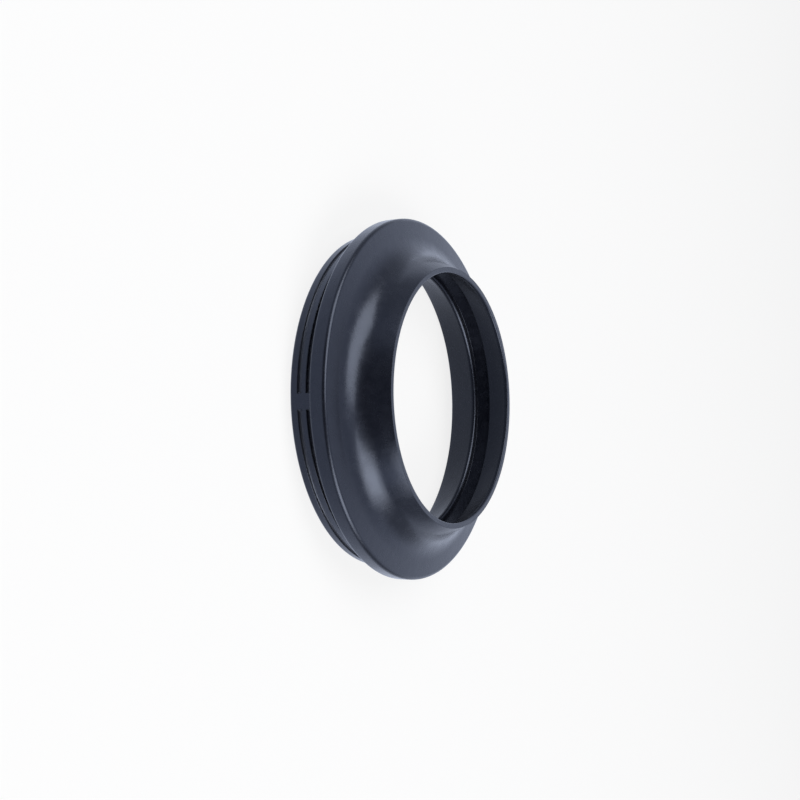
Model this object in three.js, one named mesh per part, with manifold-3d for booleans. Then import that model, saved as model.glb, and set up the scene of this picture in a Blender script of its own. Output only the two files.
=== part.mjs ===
// Fork dust cover: one moulded rubber ring that wipes a fork tube where it enters the fork leg.
// Millimetres, +Z along the ring's axis. The ring lies on its rear face with the thin neck up,
// and the origin is the centre of the rear face. A single key bar on the rear body points to -Y.
import * as THREE from 'three';
import { mergeVertices } from 'three/addons/utils/BufferGeometryUtils.js';
import Module from 'manifold-3d';

const wasm = await Module();
wasm.setup();

// Driving dimensions
const TUBE_DIAMETER = 41;
const WIPE_GRIP = 0.55; // how much smaller than the tube the neck's mouth is, on the radius
const LIP_CLEARANCE = 0.55; // the inner lip stays clear of the tube by this much
const LEG_BORE_DIAMETER = 54;
const FLANGE_DIAMETER = 58.3;
const HEIGHT = 13.75;
const SEAT_HEIGHT = 4.75; // the part that goes into the leg, below the flange

// Rear body, outside
const CREST_RADIUS = LEG_BORE_DIAMETER / 2;
const REAR_CORNER = 0.5;
const GROOVE_HEIGHT = 1.72; // middle of the narrow groove between the two ribs
const GROOVE_RADIUS = 0.32; // of its round floor
const GROOVE_DEPTH = 0.42;
const RIB_TOP = 2.95; // upper edge of the upper rib
const RIB_CORNER = 0.15;
const RELIEF_DEPTH = 0.5; // undercut between the upper rib and the flange
const RELIEF_FILLET = 0.3;
const SHOULDER_MARGIN = 0.1; // the flat that meets the leg's end starts this far outside the ribs

// Flange
const FLANGE_RADIUS = FLANGE_DIAMETER / 2;
const FLANGE_REAR_CORNER = 0.45;
const FLANGE_FRONT_CORNER = 0.65;
const FLANGE_TOP = 7.55; // the front face at its outer corner
const FACE_SLOPE = THREE.MathUtils.degToRad(8); // the front face falls outward a little
const SHOULDER_RADIUS = CREST_RADIUS + SHOULDER_MARGIN;

// Neck: outside is a shallow barrel that leans in towards the rim, and a broad cove down to the flange
const NECK_MOUTH_RADIUS = TUBE_DIAMETER / 2 - WIPE_GRIP;
const RIM_THICKNESS = 0.9;
const RIM_RADIUS = NECK_MOUTH_RADIUS + RIM_THICKNESS;
const RIM_INNER_CORNER = 0.25;
const RIM_OUTER_CORNER = 0.06;
const RIM_BAND = 0.6; // height of the band inside the rim that wipes the tube
const RIM_STEP = 0.15; // height of the step from that band out to the neck's inner wall
const BARREL_RADIUS = 19.5;
const WALL_THICKNESS = 0.75;
const RIM_LEAN = THREE.MathUtils.degToRad(29); // the outer surface's normal, above level, at the rim
const COVE_RADIUS = 5.2;

// Inside: the neck wall ends over a pocket, then come the lip's ledge and the cone that opens to the rear
const WALL_FOOT = 9.45;
const POCKET_TOP = 9.15;
const POCKET_RADIUS = 22;
const POCKET_LEAN = THREE.MathUtils.degToRad(12); // the pocket's wall leans out, going up
const POCKET_FILLET = 0.15;
const POCKET_FOOT_FILLET = 0.05;
const LEDGE_HEIGHT = 7.09; // where the lip's ledge meets the pocket's wall
const LEDGE_LEAN = THREE.MathUtils.degToRad(80); // of the ledge's normal, above level
const LIP_RADIUS = TUBE_DIAMETER / 2 + LIP_CLEARANCE;
const LIP_HEIGHT = 6.5;
const LIP_CORNER = 0.5;
const LIP_CORNER_END = THREE.MathUtils.degToRad(211);
const MOUTH_RADIUS = 24.4;
const MOUTH_HEIGHT = 0.75; // where the bore's cone ends and the steeper lead-in begins
const REAR_MOUTH_RADIUS = 25.8;

// Key bar across the groove and the relief, from the rear corner up to the flange
const BAR_WIDTH = 2.36;
const BAR_PROUD = 0.03;
const BAR_SINK = 1.0;
const BAR_FILLET = 0.3;

const SEGMENTS = 80;
const BAR_SEGMENTS = 6;
const MERGE_DISTANCE = 1e-4;
const ARC_STEP = THREE.MathUtils.degToRad(28);
const BARREL_STEP = THREE.MathUtils.degToRad(4);
const COVE_STEP = THREE.MathUtils.degToRad(9);

const RUBBER = new THREE.MeshStandardMaterial({ color: 0x1b1c22, roughness: 0.42, metalness: 0 });

// The neck's two faces are arcs about one centre in the (radius, height) plane
const NECK_CENTRE = new THREE.Vector2(
  RIM_RADIUS - BARREL_RADIUS * Math.cos(RIM_LEAN),
  HEIGHT - BARREL_RADIUS * Math.sin(RIM_LEAN),
);
const INNER_BARREL_RADIUS = BARREL_RADIUS - WALL_THICKNESS;

// Centre of the flange's round front corner in the same plane
const FLANGE_CORNER = new THREE.Vector2(
  FLANGE_RADIUS - FLANGE_FRONT_CORNER,
  FLANGE_TOP - FLANGE_FRONT_CORNER,
);

function point(radius, height) {
  return new THREE.Vector2(radius, height);
}

// Points of an arc in the (radius, height) plane, both ends included
function arc(centre, radius, from, to, step = ARC_STEP) {
  const steps = Math.max(2, Math.round(Math.abs(to - from) / step));
  return Array.from({ length: steps + 1 }, (_, i) => {
    const angle = from + ((to - from) * i) / steps;
    return point(centre.x + radius * Math.cos(angle), centre.y + radius * Math.sin(angle));
  });
}

// Angle at which an arc about the neck's centre passes a height
function neckAngle(radius, height) {
  return Math.asin((height - NECK_CENTRE.y) / radius);
}

// Rear face, ribs, groove and the relief under the flange, going up
function bodyOutline() {
  const reliefFloor = CREST_RADIUS - RELIEF_DEPTH;
  const headFillet = SHOULDER_RADIUS - reliefFloor;
  const rear = point(CREST_RADIUS - REAR_CORNER, REAR_CORNER);
  const groove = point(CREST_RADIUS - GROOVE_DEPTH + GROOVE_RADIUS, GROOVE_HEIGHT);
  const rib = point(CREST_RADIUS - RIB_CORNER, RIB_TOP - RIB_CORNER);
  const reliefFoot = point(reliefFloor + RELIEF_FILLET, RIB_TOP + RELIEF_FILLET);
  const reliefHead = point(SHOULDER_RADIUS, SEAT_HEIGHT - headFillet);
  return [
    point(REAR_MOUTH_RADIUS, 0),
    ...arc(rear, REAR_CORNER, -Math.PI / 2, 0),
    point(CREST_RADIUS, GROOVE_HEIGHT - GROOVE_RADIUS),
    ...arc(groove, GROOVE_RADIUS, -Math.PI / 2, -Math.PI * 1.5),
    point(CREST_RADIUS, GROOVE_HEIGHT + GROOVE_RADIUS),
    ...arc(rib, RIB_CORNER, 0, Math.PI / 2),
    ...arc(reliefFoot, RELIEF_FILLET, -Math.PI / 2, -Math.PI),
    ...arc(reliefHead, headFillet, Math.PI, Math.PI / 2),
  ];
}

// Flange's rear shoulder, band and front corner, going up
function flangeOutline() {
  const rear = point(FLANGE_RADIUS - FLANGE_REAR_CORNER, SEAT_HEIGHT + FLANGE_REAR_CORNER);
  return [
    ...arc(rear, FLANGE_REAR_CORNER, -Math.PI / 2, 0),
    ...arc(FLANGE_CORNER, FLANGE_FRONT_CORNER, 0, Math.PI / 2 - FACE_SLOPE),
  ];
}

// Centre of the cove, which touches the flange's sloping front face and the neck's barrel
function coveCentre() {
  const faceNormal = point(Math.sin(FACE_SLOPE), Math.cos(FACE_SLOPE));
  const downFace = point(Math.cos(FACE_SLOPE), -Math.sin(FACE_SLOPE));
  const start = FLANGE_CORNER.clone()
    .addScaledVector(faceNormal, FLANGE_FRONT_CORNER + COVE_RADIUS)
    .sub(NECK_CENTRE);
  const along = start.dot(downFace);
  const reach = BARREL_RADIUS + COVE_RADIUS;
  const inward = along - Math.sqrt(along ** 2 - start.lengthSq() + reach ** 2);
  return start.addScaledVector(downFace, -inward).add(NECK_CENTRE);
}

// Cove and barrel of the neck, then the rim, going up and over
function neckOutline() {
  const cove = coveCentre();
  const foot = neckAngle(BARREL_RADIUS + COVE_RADIUS, cove.y);
  const outer = point(RIM_RADIUS - RIM_OUTER_CORNER, HEIGHT - RIM_OUTER_CORNER);
  const inner = point(NECK_MOUTH_RADIUS + RIM_INNER_CORNER, HEIGHT - RIM_INNER_CORNER);
  return [
    ...arc(cove, COVE_RADIUS, -Math.PI / 2 - FACE_SLOPE, foot - Math.PI, COVE_STEP),
    ...arc(NECK_CENTRE, BARREL_RADIUS, foot, RIM_LEAN, BARREL_STEP).slice(1, -1),
    ...arc(outer, RIM_OUTER_CORNER, RIM_LEAN, Math.PI / 2),
    ...arc(inner, RIM_INNER_CORNER, Math.PI / 2, Math.PI),
    point(NECK_MOUTH_RADIUS, HEIGHT - RIM_BAND),
  ];
}

// Inside of the neck, pocket, lip and rear bore, going down
function boreOutline() {
  const wallTop = neckAngle(INNER_BARREL_RADIUS, HEIGHT - RIM_BAND - RIM_STEP);
  const wallFoot = neckAngle(INNER_BARREL_RADIUS, WALL_FOOT);
  const pocketTopRadius = POCKET_RADIUS + (POCKET_TOP - LEDGE_HEIGHT) * Math.tan(POCKET_LEAN);
  const pocketTop = point(pocketTopRadius - POCKET_FILLET, POCKET_TOP);
  const pocketFoot = point(POCKET_RADIUS - POCKET_FOOT_FILLET, LEDGE_HEIGHT + POCKET_FOOT_FILLET);
  const lip = point(LIP_RADIUS + LIP_CORNER, LIP_HEIGHT);
  return [
    ...arc(NECK_CENTRE, INNER_BARREL_RADIUS, wallTop, wallFoot, BARREL_STEP),
    ...arc(pocketTop, POCKET_FILLET, Math.PI / 2, -POCKET_LEAN),
    ...arc(pocketFoot, POCKET_FOOT_FILLET, -POCKET_LEAN, -LEDGE_LEAN),
    ...arc(lip, LIP_CORNER, Math.PI - LEDGE_LEAN, LIP_CORNER_END),
    point(MOUTH_RADIUS, MOUTH_HEIGHT),
    point(REAR_MOUTH_RADIUS, 0),
  ];
}

// Cross-section of the bar, seen along the axis: its crest, and feet that spread into the groove
function barSection() {
  const inner = CREST_RADIUS - BAR_SINK;
  const outer = CREST_RADIUS + BAR_PROUD;
  const half = BAR_WIDTH / 2;
  const crestAngle = Math.asin(half / outer);
  const floor = CREST_RADIUS - GROOVE_DEPTH;
  const shape = new THREE.Shape();
  shape.moveTo(-half - BAR_FILLET, -inner);
  shape.lineTo(-half - BAR_FILLET, -floor);
  shape.quadraticCurveTo(-half, -floor, -half, -outer * Math.cos(crestAngle));
  shape.absarc(0, 0, outer, -Math.PI / 2 - crestAngle, -Math.PI / 2 + crestAngle, false);
  shape.quadraticCurveTo(half, -floor, half + BAR_FILLET, -floor);
  shape.lineTo(half + BAR_FILLET, -inner);
  shape.closePath();
  return shape;
}

function toManifold(geometry) {
  geometry.deleteAttribute('normal');
  geometry.deleteAttribute('uv');
  const merged = mergeVertices(geometry, MERGE_DISTANCE);
  return new wasm.Manifold(
    new wasm.Mesh({
      numProp: 3,
      vertProperties: new Float32Array(merged.attributes.position.array),
      triVerts: new Uint32Array(merged.index.array),
    }),
  );
}

function toGeometry(solid) {
  const mesh = solid.getMesh();
  const geometry = new THREE.BufferGeometry();
  geometry.setAttribute('position', new THREE.BufferAttribute(mesh.vertProperties, 3));
  geometry.setIndex(new THREE.BufferAttribute(mesh.triVerts, 1));
  geometry.computeVertexNormals();
  return geometry;
}

function ring() {
  const outline = [...bodyOutline(), ...flangeOutline(), ...neckOutline(), ...boreOutline()];
  return toManifold(new THREE.LatheGeometry(outline, SEGMENTS).rotateX(Math.PI / 2));
}

function keyBar() {
  const extrusion = {
    depth: SEAT_HEIGHT + FLANGE_REAR_CORNER - REAR_CORNER,
    bevelEnabled: false,
    curveSegments: BAR_SEGMENTS,
  };
  return toManifold(new THREE.ExtrudeGeometry(barSection(), extrusion).translate(0, 0, REAR_CORNER));
}

const dustCover = new THREE.Mesh(toGeometry(ring().add(keyBar())), RUBBER);
dustCover.name = 'dust_cover';

const forkDustCover = new THREE.Group();
forkDustCover.add(dustCover);

export default forkDustCover;
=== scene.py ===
"""Looks of the fork dust cover: one moulded black rubber ring, lying on its rear face with the neck up.

The rear face is z = 0 and the ring's axis is +Z. The ring is turned from one outline, finer than the
solid's, and its key bar is raised from the same grid of points. The outline is in millimetres and is
scaled once, when the mesh is made. Other values are in metres, unless their comments say otherwise.
"""

import math

import bpy
import numpy as np
from mathutils import Matrix, Quaternion, Vector


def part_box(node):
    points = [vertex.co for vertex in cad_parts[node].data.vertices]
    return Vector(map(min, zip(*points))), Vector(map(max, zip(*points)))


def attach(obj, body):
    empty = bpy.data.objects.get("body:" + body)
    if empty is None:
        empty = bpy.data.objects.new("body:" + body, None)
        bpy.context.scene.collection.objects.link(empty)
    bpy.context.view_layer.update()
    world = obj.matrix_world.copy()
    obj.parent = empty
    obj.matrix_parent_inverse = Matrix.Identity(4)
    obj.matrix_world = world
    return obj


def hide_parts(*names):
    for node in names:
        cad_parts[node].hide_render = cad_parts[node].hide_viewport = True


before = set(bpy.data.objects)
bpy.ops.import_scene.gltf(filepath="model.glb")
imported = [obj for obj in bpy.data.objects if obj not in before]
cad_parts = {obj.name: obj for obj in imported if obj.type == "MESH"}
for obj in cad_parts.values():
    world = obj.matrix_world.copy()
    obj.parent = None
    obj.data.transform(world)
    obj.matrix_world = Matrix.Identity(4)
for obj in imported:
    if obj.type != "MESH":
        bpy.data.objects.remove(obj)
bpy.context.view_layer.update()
solid_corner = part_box("dust_cover")[1]  # the highest one

MM = 0.001
QUARTER = math.pi / 2
WHITE = (1, 1, 1, 1)

# Outline of the ring, in millimetres: x is the radius and y is the height above the rear face
HEIGHT = solid_corner.z / MM
FLANGE_RADIUS = solid_corner.x / MM
CREST_RADIUS = 27.0  # of the two ribs
SEAT_HEIGHT = 4.75  # of the part below the flange

# Rear body, outside
REAR_CORNER = 0.5
GROOVE_HEIGHT = 1.72  # middle of the narrow groove between the two ribs
GROOVE_RADIUS = 0.32  # of its round floor
GROOVE_DEPTH = 0.42
GROOVE_EDGE = 0.11  # rounding of its two edges
RIB_TOP = 2.95  # upper edge of the upper rib
RIB_CORNER = 0.15
RELIEF_DEPTH = 0.5  # undercut between the upper rib and the flange
RELIEF_FILLET = 0.3
SHOULDER_MARGIN = 0.1  # the flat that meets the leg's end starts this far outside the ribs
SHOULDER_RADIUS = CREST_RADIUS + SHOULDER_MARGIN

# Flange
FLANGE_REAR_CORNER = 0.45
FLANGE_FRONT_CORNER = 0.65
FLANGE_TOP = 7.55  # the front face at its outer corner
FACE_SLOPE = math.radians(8)  # the front face falls outward a little

# Neck: outside is a shallow barrel that leans in towards the rim, with a broad cove at its foot
NECK_MOUTH_RADIUS = 19.95
RIM_THICKNESS = 0.9
RIM_RADIUS = NECK_MOUTH_RADIUS + RIM_THICKNESS
RIM_INNER_CORNER = 0.25
RIM_OUTER_CORNER = 0.06
RIM_BAND = 0.6  # height of the band inside the rim that wipes the tube
RIM_STEP = 0.15  # height of the step from that band out to the neck's inner wall
RIM_LEAN = math.radians(29)  # of the outer surface's normal, above level, at the rim
BARREL_RADIUS = 19.5
WALL_THICKNESS = 0.75
INNER_BARREL_RADIUS = BARREL_RADIUS - WALL_THICKNESS
COVE_RADIUS = 5.2

# The centre that the neck's outer and inner arcs share
NECK_X = RIM_RADIUS - BARREL_RADIUS * math.cos(RIM_LEAN)
NECK_Y = HEIGHT - BARREL_RADIUS * math.sin(RIM_LEAN)

# Inside: the neck wall ends over a pocket, then come the lip's ledge and a cone that opens rearward
WALL_FOOT = 9.45
POCKET_TOP = 9.15
POCKET_RADIUS = 22.0
POCKET_LEAN = math.radians(12)  # the pocket's wall leans out, going up
POCKET_FILLET = 0.15
POCKET_FOOT_FILLET = 0.05
LEDGE_HEIGHT = 7.09  # where the lip's ledge meets the pocket's wall
LEDGE_LEAN = math.radians(80)  # of the ledge's normal, above level
LIP_RADIUS = 21.05
LIP_HEIGHT = 6.5
LIP_CORNER = 0.5
LIP_CORNER_END = math.radians(211)
MOUTH_RADIUS = 24.4
MOUTH_HEIGHT = 0.75  # where the bore's cone ends and the steeper lead-in begins
REAR_MOUTH_RADIUS = 25.8

# Key bar across the groove and the relief, from the rear corner up to the flange
BAR_WIDTH = 2.36
BAR_FILLET = 0.3
BAR_ANGLE = 3 * QUARTER  # it points to -Y

# Fineness of the visible mesh
ARC_STEP = math.radians(9)
FEWEST_ARC_STEPS = 2
BARREL_STEP = math.radians(1.2)
COVE_STEP = math.radians(3)
STRAIGHT_STEP = 0.6
STRAIGHT_GUARD = 0.04  # a first and last step this short keep the shading even up to a corner
SHORTEST_SPLIT = 3 * STRAIGHT_GUARD  # a shorter straight face isn't split
SAME_POINT = 1e-6  # points closer than this are one
RING_SEGMENTS = 352
BAR_FILLET_STEPS = 6
BAR_GAP = 0.25  # the even segments stay clear of the bar's finer ones by this share of a segment

# Rubber: each noise is given as its cells per metre and its detail
RUBBER_IOR = 1.58
RUBBER_TINT = (0.72, 0.8, 1.0, 1)  # of what it reflects
DARK_TONE = (0.0042, 0.0046, 0.0078, 1)
LIGHT_TONE = (0.0066, 0.0072, 0.0112, 1)
TONE_NOISE = (900, 4)
TONE_RANGE = (0.35, 0.65)  # of the noise, between the dark tone and the light one
ROUGHNESS = (0.22, 0.3)
ROUGHNESS_NOISE = (450, 3)
ROUGHNESS_RANGE = (0.3, 0.7)  # of the noise, between the two roughnesses
BUMPS = [
    # noise, and depth in metres: the mould, the wrinkles and the grain
    ((600, 2), 0.000018),
    ((2200, 3), 0.000005),
    ((5200, 2), 0.000002),
]

# Painted fill light: the groove and the relief under the flange are painted a lighter colour that lifts
# their shade, strongest at the groove's floor
PAINTED_FILL_COLOUR = (0.05, 0.052, 0.062, 1)
BORE_SIDE = 26.2 * MM
GROOVE_FLOOR = 26.6 * MM
FLANGE_MIDDLE = 5.5 * MM

# Floor
SURROUND_COLOUR = (0.75, 0.82, 1.0)  # the rubber reflects the white surround as slightly blue
FLOOR_SIZE = 3.0
FLOOR_DROP = 0.00002  # the floor lies this far under the rear face, so that the two don't flicker
FLOOR_ALBEDO = 0.9
FLOOR_GLOW = 0.82  # this share of it looks plain white; the rest is lit, and shows the shadow
FLOOR_MIRRORED = 0.9  # how bright the floor is where the rubber reflects it

# Painted light and shade on the floor's glow, where the rubber reflects it. The glow has painted shade
# far out on the camera's side and a painted shadow of the ring under the bore, and painted light behind
# the ring and, close to the ring, towards both sides.
# A pair is where a level starts and ends to change, along Y, along X or from the middle.
FLOOR_SPREAD = 0.6  # the lines of equal level along Y bend back by this share of the way to the side
FLOOR_FRONT = (-0.12, -0.045)
FLOOR_FRONT_PAINTED_SHADE = 0.35
FLOOR_BACK = (0.015, 0.05)
FLOOR_BACK_PAINTED_LIGHT = 0.8
# painted shadow of the ring on the floor's glow, under the bore
FLOOR_BORE = (0.024, 0.0265)
FLOOR_BORE_PAINTED_SHADOW = 0.4
FLOOR_SIDES = (0.012, 0.028)
FLOOR_CLOSE = (0.033, 0.038)
FLOOR_SIDES_PAINTED_LIGHT = 0.6

# Lamps and surround: azimuth 0 is -Y, the photographed side, and grows towards +X; both angles are
# in degrees
LAMP_DISTANCE = 0.6
LAMPS = {
    # name: azimuth, elevation, roll in degrees, width and height in metres, radiance
    "softbox_left": (-66, 57, -16, 0.36, 0.68, 3.3),
    "softbox_right": (69, 42, -15, 0.44, 0.56, 2.3),
    "softbox_right_middle": (68, 43, -15, 0.28, 0.34, 2.2),
}
WORLD_FILL = 0.1  # what the surround adds to matt surfaces
LOW_LEVEL = 1.44  # the surround is brightest low down
LOW_HEIGHT = 0.2  # heights here are sines of the elevation
HIGH_LEVEL = 0.76
HIGH_HEIGHT = 0.9
SHADES = [
    # azimuth and elevation of the middle, level, and degrees from the middle to the core and the edge
    (0, 16, 0.12, 24, 68),  # the side that the camera stands on is dark
    (-98, 8, 0.4, 20, 58),
    (104, 4, 0.33, 16, 46),
]

# The photograph: a 58 mm lens on a 36 mm frame, with the ring's axis 61 degrees off the line of sight
LENS = 58.4
NEAREST_SEEN = 0.01
AXIS_TILT = math.radians(60.823)
AXIS_ROLL = math.radians(-1.848)
BAR_ROLL = math.radians(-0.36)
RIM_OFFSET = (8.899, -0.376)  # centre of the rim's plane, right and down of the line of sight, in mm
RIM_DISTANCE = 207.58  # along the line of sight, in mm


def on_circle(x, y, radius, angles):
    """Points of a circle at the angles."""
    return [(x + radius * math.cos(a), y + radius * math.sin(a)) for a in angles]


def arc(x, y, radius, start, end, step=ARC_STEP):
    """Points of an arc, both ends included."""
    steps = max(FEWEST_ARC_STEPS, round(abs(end - start) / step))
    return on_circle(x, y, radius, [start + (end - start) * i / steps for i in range(steps + 1)])


def guarded_arc(x, y, radius, start, end, step):
    """An arc between two sharp corners, with a short first and last step."""
    steps = round(abs(end - start) / step)
    guard = math.copysign(STRAIGHT_GUARD / radius, end - start)
    between = [start + (end - start) * i / steps for i in range(1, steps)]
    return on_circle(x, y, radius, [start, start + guard, *between, end - guard, end])


def straight(a, b):
    """Points between a and b, both left out, with a short step at each end."""
    length = math.dist(a, b)
    if length <= SHORTEST_SPLIT:
        return []
    steps = max(1, round(length / STRAIGHT_STEP))
    guard = STRAIGHT_GUARD / length
    shares = [guard, *[i / steps for i in range(1, steps)], 1 - guard]
    return [(a[0] + (b[0] - a[0]) * share, a[1] + (b[1] - a[1]) * share) for share in shares]


def joined(*runs):
    """One list of points through the runs, with straight faces filled in between them."""
    points = list(runs[0])
    for run in runs[1:]:
        points += straight(points[-1], run[0])
        if math.dist(points[-1], run[0]) > SAME_POINT:
            points.append(run[0])
        points += run[1:]
    return points


def neck_angle(radius, height):
    """Angle at which an arc about the neck's centre passes a height."""
    return math.asin((height - NECK_Y) / radius)


def body_outline():
    """Rear corner, ribs, groove and the relief under the flange, going up."""
    edge = GROOVE_EDGE
    groove_low = GROOVE_HEIGHT - GROOVE_RADIUS
    groove_high = GROOVE_HEIGHT + GROOVE_RADIUS
    groove_x = CREST_RADIUS - GROOVE_DEPTH + GROOVE_RADIUS
    relief_floor = CREST_RADIUS - RELIEF_DEPTH
    relief_x = relief_floor + RELIEF_FILLET
    head = SHOULDER_RADIUS - relief_floor
    return joined(
        [(REAR_MOUTH_RADIUS, 0)],
        arc(CREST_RADIUS - REAR_CORNER, REAR_CORNER, REAR_CORNER, -QUARTER, 0),
        arc(CREST_RADIUS - edge, groove_low - edge, edge, 0, QUARTER),
        arc(groove_x, GROOVE_HEIGHT, GROOVE_RADIUS, -QUARTER, -3 * QUARTER),
        arc(CREST_RADIUS - edge, groove_high + edge, edge, -QUARTER, 0),
        arc(CREST_RADIUS - RIB_CORNER, RIB_TOP - RIB_CORNER, RIB_CORNER, 0, QUARTER),
        arc(relief_x, RIB_TOP + RELIEF_FILLET, RELIEF_FILLET, -QUARTER, -math.pi),
        arc(SHOULDER_RADIUS, SEAT_HEIGHT - head, head, math.pi, QUARTER),
    )


def cove_centre(up):
    """Centre of the cove, which touches the front face and the barrel; up is the face's normal."""
    front = FLANGE_FRONT_CORNER
    reach = BARREL_RADIUS + COVE_RADIUS
    off_x = FLANGE_RADIUS - front + (front + COVE_RADIUS) * math.cos(up) - NECK_X
    off_y = FLANGE_TOP - front + (front + COVE_RADIUS) * math.sin(up) - NECK_Y
    along = off_x * math.sin(up) - off_y * math.cos(up)
    inward = along - math.sqrt(along ** 2 - off_x ** 2 - off_y ** 2 + reach ** 2)
    return NECK_X + off_x - inward * math.sin(up), NECK_Y + off_y + inward * math.cos(up)


def upper_outline():
    """Flange, neck and rim, going up and over."""
    rear = FLANGE_REAR_CORNER
    front = FLANGE_FRONT_CORNER
    outer = RIM_OUTER_CORNER
    inner = RIM_INNER_CORNER
    up = QUARTER - FACE_SLOPE
    cove_x, cove_y = cove_centre(up)
    foot = neck_angle(BARREL_RADIUS + COVE_RADIUS, cove_y)
    return joined(
        arc(FLANGE_RADIUS - rear, SEAT_HEIGHT + rear, rear, -QUARTER, 0),
        arc(FLANGE_RADIUS - front, FLANGE_TOP - front, front, 0, up),
        arc(cove_x, cove_y, COVE_RADIUS, up - math.pi, foot - math.pi, COVE_STEP),
        guarded_arc(NECK_X, NECK_Y, BARREL_RADIUS, foot, RIM_LEAN, BARREL_STEP),
        arc(RIM_RADIUS - outer, HEIGHT - outer, outer, RIM_LEAN, QUARTER),
        arc(NECK_MOUTH_RADIUS + inner, HEIGHT - inner, inner, QUARTER, math.pi),
    )


def bore_outline():
    """Inside of the neck, pocket, lip and rear bore, going down to the outline's first point."""
    wall_top = neck_angle(INNER_BARREL_RADIUS, HEIGHT - RIM_BAND - RIM_STEP)
    wall_foot = neck_angle(INNER_BARREL_RADIUS, WALL_FOOT)
    top = POCKET_FILLET
    top_x = POCKET_RADIUS + (POCKET_TOP - LEDGE_HEIGHT) * math.tan(POCKET_LEAN)
    foot = POCKET_FOOT_FILLET
    return joined(
        [(NECK_MOUTH_RADIUS, HEIGHT - RIM_BAND)],
        guarded_arc(NECK_X, NECK_Y, INNER_BARREL_RADIUS, wall_top, wall_foot, BARREL_STEP),
        arc(top_x - top, POCKET_TOP, top, QUARTER, -POCKET_LEAN),
        arc(POCKET_RADIUS - foot, LEDGE_HEIGHT + foot, foot, -POCKET_LEAN, -LEDGE_LEAN),
        arc(LIP_RADIUS + LIP_CORNER, LIP_HEIGHT, LIP_CORNER, math.pi - LEDGE_LEAN, LIP_CORNER_END),
        [(MOUTH_RADIUS, MOUTH_HEIGHT)],
        [(REAR_MOUTH_RADIUS, 0)],
    )[:-1]


def bar_outline(body):
    """The body's outline along the key bar: above the rear corner, its points lie on the crest."""
    start = next(i for i, (x, y) in enumerate(body) if x >= CREST_RADIUS - SAME_POINT)
    foot = body[start][1]
    lengths = [0.0]
    for a, b in zip(body[start:], body[start + 1:]):
        lengths.append(lengths[-1] + math.dist(a, b))
    rise = (SEAT_HEIGHT - foot) / lengths[-1]
    crest = [(max(x, CREST_RADIUS), foot + rise * s) for (x, y), s in zip(body[start:], lengths)]
    return body[:start] + crest


def bar_share(offset):
    """1 on the bar and 0 beside it, with a round fillet between; offset is measured from its middle."""
    beyond = (abs(offset) - BAR_WIDTH / 2) / BAR_FILLET
    if beyond <= 0:
        return 1.0
    if beyond >= 1:
        return 0.0
    return 1 - math.sqrt(1 - (1 - beyond) ** 2)


def ring_angles():
    """Angles round the ring: even segments, and finer ones across the bar's two fillets."""
    half = BAR_WIDTH / 2
    turns = [i * QUARTER / BAR_FILLET_STEPS for i in range(BAR_FILLET_STEPS + 1)]
    offsets = [half - STRAIGHT_GUARD, *[half + BAR_FILLET * (1 - math.cos(turn)) for turn in turns]]
    fine = [side * offset / CREST_RADIUS for side in (-1, 1) for offset in offsets]
    gap = BAR_GAP * 2 * math.pi / RING_SEGMENTS
    first = offsets[0] / CREST_RADIUS - gap
    last = offsets[-1] / CREST_RADIUS + gap
    even = [2 * math.pi * i / RING_SEGMENTS for i in range(RING_SEGMENTS)]
    kept = [a for a in even if not first < abs(a - BAR_ANGLE) < last]
    return sorted(kept + [BAR_ANGLE + a for a in fine])


def ring_mesh():
    """The whole ring as one closed grid of points, with the key bar raised from it."""
    body = body_outline()
    upper = joined(upper_outline(), bore_outline())
    shared = straight(body[-1], upper[0]) + upper
    plain = np.array(body + shared)
    barred = np.array(bar_outline(body) + shared)
    angles = ring_angles()
    rows = len(plain)
    columns = len(angles)
    points = np.empty((columns, rows, 3))
    for column, angle in enumerate(angles):
        share = bar_share((angle - BAR_ANGLE) * CREST_RADIUS)
        outline = plain + (barred - plain) * share
        points[column, :, 0] = outline[:, 0] * math.cos(angle)
        points[column, :, 1] = outline[:, 0] * math.sin(angle)
        points[column, :, 2] = outline[:, 1]
    faces = []
    for column in range(columns):
        after = (column + 1) % columns
        for row in range(rows):
            above = (row + 1) % rows
            faces.append((
                column * rows + row,
                after * rows + row,
                after * rows + above,
                column * rows + above,
            ))
    mesh = bpy.data.meshes.new("moulded_ring")
    mesh.from_pydata((points.reshape(-1, 3) * MM).tolist(), [], faces)
    mesh.polygons.foreach_set("use_smooth", [True] * len(faces))
    mesh.update()
    return mesh


def add_ring():
    """The rubber ring, in place of the solid's."""
    ring = bpy.data.objects.new("moulded_ring", ring_mesh())
    bpy.context.scene.collection.objects.link(ring)
    ring.data.materials.append(rubber())
    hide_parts("dust_cover")
    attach(ring, "root")


def new_material(name):
    """A material, its node tree and its shader."""
    material = bpy.data.materials.new(name)
    material.use_nodes = True
    return material, material.node_tree, material.node_tree.nodes["Principled BSDF"]


def coordinates(tree, kind):
    """Object or Generated coordinates as a vector, and its X, Y and Z."""
    place = tree.nodes.new("ShaderNodeTexCoord").outputs[kind]
    split = tree.nodes.new("ShaderNodeSeparateXYZ")
    tree.links.new(place, split.inputs["Vector"])
    return place, split.outputs


def noise(tree, scale, detail):
    """Noise in the object's own coordinates; scale is in cells per metre."""
    place = tree.nodes.new("ShaderNodeTexCoord")
    texture = tree.nodes.new("ShaderNodeTexNoise")
    texture.inputs["Scale"].default_value = scale
    texture.inputs["Detail"].default_value = detail
    tree.links.new(place.outputs["Object"], texture.inputs["Vector"])
    return texture.outputs["Fac"]


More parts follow.
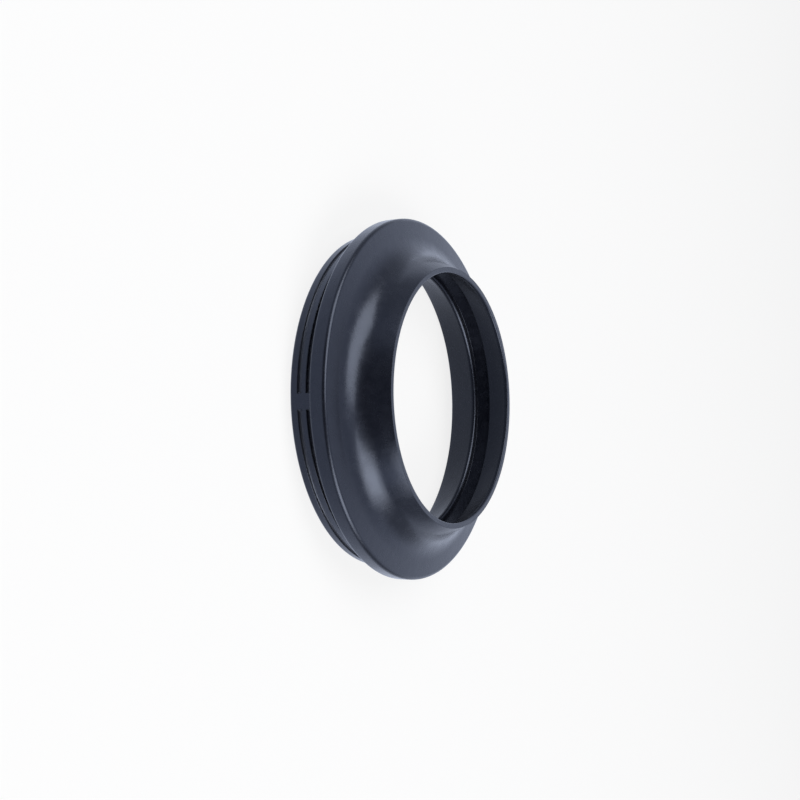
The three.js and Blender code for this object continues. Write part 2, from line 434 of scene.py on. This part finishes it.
def ranged(tree, value, low, high, out_low, out_high, interpolation="LINEAR"):
    """The value, taken from the range low to high to the range out_low to out_high, and kept in it."""
    node = tree.nodes.new("ShaderNodeMapRange")
    node.interpolation_type = interpolation
    node.inputs["From Min"].default_value = low
    node.inputs["From Max"].default_value = high
    node.inputs["To Min"].default_value = out_low
    node.inputs["To Max"].default_value = out_high
    tree.links.new(value, node.inputs["Value"])
    return node.outputs["Result"]


def combined(tree, operation, *values):
    """One maths node on the values."""
    node = tree.nodes.new("ShaderNodeMath")
    node.operation = operation
    for value, socket in zip(values, node.inputs):
        tree.links.new(value, socket)
    return node.outputs["Value"]


def vector_maths(tree, operation, vector, constant=(0, 0, 0)):
    """Outputs of one vector maths node on a vector and a constant one."""
    node = tree.nodes.new("ShaderNodeVectorMath")
    node.operation = operation
    tree.links.new(vector, node.inputs[0])
    node.inputs[1].default_value = constant
    return node.outputs


def mixed(tree, kind, share, a, b):
    """From a to b by the share; kind is FLOAT or RGBA, and a and b are constants or sockets."""
    node = tree.nodes.new("ShaderNodeMix")
    node.data_type = kind
    tree.links.new(share, node.inputs["Factor"])
    for value, socket in ((a, node.inputs["A"]), (b, node.inputs["B"])):
        if isinstance(value, bpy.types.NodeSocket):
            tree.links.new(value, socket)
        else:
            socket.default_value = value
    return node.outputs["Result"]


def bumped(tree, height, depth, normal=None):
    """A bump of a given depth in metres, on top of another normal if one is given."""
    node = tree.nodes.new("ShaderNodeBump")
    node.inputs["Strength"].default_value = 1.0
    node.inputs["Distance"].default_value = depth
    tree.links.new(height, node.inputs["Height"])
    if normal is not None:
        tree.links.new(normal, node.inputs["Normal"])
    return node.outputs["Normal"]


def painted_fill_share(tree):
    """How much lighter colour is painted at each place of the ring, from 0 to 1, as painted fill light
    in the groove and the relief.
    """
    place, axes = coordinates(tree, "Object")
    level = vector_maths(tree, "MULTIPLY", place, (1, 1, 0))["Vector"]
    radius = vector_maths(tree, "LENGTH", level)["Value"]
    beyond_bore = ranged(tree, radius, BORE_SIDE, GROOVE_FLOOR, 0, 1)
    under_crest = ranged(tree, radius, GROOVE_FLOOR, CREST_RADIUS * MM, 1, 0)
    below_flange = ranged(tree, axes["Z"], SEAT_HEIGHT * MM, FLANGE_MIDDLE, 1, 0)
    in_recess = combined(tree, "MULTIPLY", beyond_bore, under_crest)
    return combined(tree, "MULTIPLY", in_recess, below_flange)


def rubber():
    """Smooth semi-gloss black rubber with a faint blue cast, slightly uneven from the mould."""
    material, tree, shader = new_material("black_rubber")
    shader.inputs["IOR"].default_value = RUBBER_IOR
    shader.inputs["Specular Tint"].default_value = RUBBER_TINT

    lightness = ranged(tree, noise(tree, *TONE_NOISE), *TONE_RANGE, 0, 1)
    tone = mixed(tree, "RGBA", lightness, DARK_TONE, LIGHT_TONE)
    # painted fill light: the groove and the relief under the flange are painted lighter than the rubber
    colour = mixed(tree, "RGBA", painted_fill_share(tree), tone, PAINTED_FILL_COLOUR)
    tree.links.new(colour, shader.inputs["Base Color"])

    roughness = ranged(tree, noise(tree, *ROUGHNESS_NOISE), *ROUGHNESS_RANGE, *ROUGHNESS)
    tree.links.new(roughness, shader.inputs["Roughness"])

    normal = None
    for texture, depth in BUMPS:
        normal = bumped(tree, noise(tree, *texture), depth, normal)
    tree.links.new(normal, shader.inputs["Normal"])
    return material


def painted_floor_light(tree):
    """Painted light and shade of the floor's glow where the rubber reflects it, with a painted shadow
    under the bore.
    """
    place, axes = coordinates(tree, "Object")
    distance = vector_maths(tree, "LENGTH", place)["Value"]
    aside = combined(tree, "ABSOLUTE", axes["X"])
    half = FLOOR_SIZE / 2
    bend = ranged(tree, aside, 0, half, 0, FLOOR_SPREAD * half)
    behind = combined(tree, "SUBTRACT", axes["Y"], bend)
    # painted shade far out in front and under the bore, painted light behind and close to the ring at
    # the sides
    front = ranged(tree, behind, *FLOOR_FRONT, FLOOR_FRONT_PAINTED_SHADE, 1)
    back = ranged(tree, behind, *FLOOR_BACK, 0, FLOOR_BACK_PAINTED_LIGHT)
    bore = ranged(tree, distance, *FLOOR_BORE, FLOOR_BORE_PAINTED_SHADOW, 1)
    sides = ranged(tree, aside, *FLOOR_SIDES, 0, FLOOR_SIDES_PAINTED_LIGHT)
    close = ranged(tree, distance, *FLOOR_CLOSE, 1, 0)
    extra = combined(tree, "ADD", back, combined(tree, "MULTIPLY", sides, close))
    return combined(tree, "MULTIPLY", combined(tree, "ADD", front, extra), bore)


def floor_white():
    """Plain white with a faint shadow for the camera, and for the rubber a glow with painted light and
    shade.
    """
    material, tree, shader = new_material("floor_white")
    shader.inputs["Base Color"].default_value = (FLOOR_ALBEDO, FLOOR_ALBEDO, FLOOR_ALBEDO, 1)
    shader.inputs["Roughness"].default_value = 1.0
    shader.inputs["Specular IOR Level"].default_value = 0.0

    path = tree.nodes.new("ShaderNodeLightPath").outputs
    glow = tree.nodes.new("ShaderNodeEmission")
    mirrored_white = [FLOOR_MIRRORED * share for share in (*SURROUND_COLOUR, 1)]
    tint = mixed(tree, "RGBA", path["Is Glossy Ray"], WHITE, mirrored_white)
    # the rubber reflects a glowing floor with painted light and shade in place of the lit one
    level = mixed(tree, "FLOAT", path["Is Glossy Ray"], 1.0, painted_floor_light(tree))
    tree.links.new(tint, glow.inputs["Color"])
    tree.links.new(level, glow.inputs["Strength"])

    seen = ranged(tree, path["Is Camera Ray"], 0, 1, 0, FLOOR_GLOW)
    blend = tree.nodes.new("ShaderNodeMixShader")
    tree.links.new(combined(tree, "MAXIMUM", seen, path["Is Glossy Ray"]), blend.inputs["Fac"])
    tree.links.new(shader.outputs["BSDF"], blend.inputs[1])
    tree.links.new(glow.outputs["Emission"], blend.inputs[2])
    tree.links.new(blend.outputs["Shader"], tree.nodes["Material Output"].inputs["Surface"])
    return material


def add_floor():
    """The floor, just under the ring."""
    half = FLOOR_SIZE / 2
    corners = [(-half, -half), (half, -half), (half, half), (-half, half)]
    mesh = bpy.data.meshes.new("floor")
    mesh.from_pydata([(x, y, -FLOOR_DROP) for x, y in corners], [], [(0, 1, 2, 3)])
    mesh.materials.append(floor_white())
    floor = bpy.data.objects.new("floor", mesh)
    bpy.context.scene.collection.objects.link(floor)


def direction(azimuth, elevation):
    """Unit vector at the two angles."""
    a = math.radians(azimuth)
    e = math.radians(elevation)
    return Vector((math.sin(a) * math.cos(e), -math.cos(a) * math.cos(e), math.sin(e)))


def add_lamps():
    """Softboxes that face the ring."""
    for name, (azimuth, elevation, roll, width, height, radiance) in LAMPS.items():
        data = bpy.data.lights.new(name, "AREA")
        data.shape = "RECTANGLE"
        data.size = width
        data.size_y = height
        data.energy = radiance * math.pi * width * height
        lamp = bpy.data.objects.new(name, data)
        towards = direction(azimuth, elevation)
        lamp.location = towards * LAMP_DISTANCE
        rolled = Quaternion((0, 0, 1), math.radians(roll))
        lamp.rotation_euler = (towards.to_track_quat("Z", "Y") @ rolled).to_euler()
        bpy.context.scene.collection.objects.link(lamp)


def add_world():
    """White surround, darker on the photographed side, which gives the rubber its dark reflections."""
    world = bpy.data.worlds.new("surround")
    bpy.context.scene.world = world
    world.use_nodes = True
    tree = world.node_tree
    background = tree.nodes["Background"]

    towards, axes = coordinates(tree, "Generated")
    surround = ranged(tree, axes["Z"], LOW_HEIGHT, HIGH_HEIGHT, LOW_LEVEL, HIGH_LEVEL)
    for azimuth, elevation, level, core, edge in SHADES:
        middle = direction(azimuth, elevation)
        nearness = vector_maths(tree, "DOT_PRODUCT", towards, middle)["Value"]
        at_edge = math.cos(math.radians(edge))
        at_core = math.cos(math.radians(core))
        shade = ranged(tree, nearness, at_edge, at_core, 1, level, "SMOOTHSTEP")
        surround = combined(tree, "MULTIPLY", surround, shade)

    path = tree.nodes.new("ShaderNodeLightPath").outputs
    sharp = combined(tree, "MAXIMUM", path["Is Glossy Ray"], path["Is Transmission Ray"])
    for_object = mixed(tree, "FLOAT", sharp, WORLD_FILL, surround)
    strength = mixed(tree, "FLOAT", path["Is Camera Ray"], for_object, 1.0)
    tint = mixed(tree, "RGBA", path["Is Camera Ray"], (*SURROUND_COLOUR, 1), WHITE)
    tree.links.new(strength, background.inputs["Strength"])
    tree.links.new(tint, background.inputs["Color"])


def add_camera():
    """The photograph's viewpoint: image up is about -X, image right about +Z."""
    # +Z, -X and -Y of the part as the camera sees them: right, down and into the picture
    level = math.sin(AXIS_TILT)
    axis = Vector((level * math.cos(AXIS_ROLL), level * math.sin(AXIS_ROLL), -math.cos(AXIS_TILT)))
    across = axis.cross(Vector((0, 0, 1))).normalized()
    nearer = axis.cross(across)
    minus_x = across * math.cos(BAR_ROLL) + nearer * math.sin(BAR_ROLL)
    minus_y = nearer * math.cos(BAR_ROLL) - across * math.sin(BAR_ROLL)
    to_part = Matrix((-minus_x, -minus_y, axis))
    rim = to_part @ Vector((*RIM_OFFSET, RIM_DISTANCE))
    right_up_back = [to_part @ Vector(v) for v in ((1, 0, 0), (0, -1, 0), (0, 0, -1))]
    data = bpy.data.cameras.new("camera")
    data.lens = LENS
    data.clip_start = NEAREST_SEEN
    camera = bpy.data.objects.new("camera", data)
    camera.location = (Vector((0, 0, HEIGHT)) - rim) * MM
    camera.rotation_euler = Matrix(right_up_back).transposed().to_euler()
    bpy.context.scene.collection.objects.link(camera)
    bpy.context.scene.camera = camera


add_ring()
add_floor()
add_lamps()
add_world()
add_camera()
bpy.context.scene.view_settings.view_transform = "Standard"
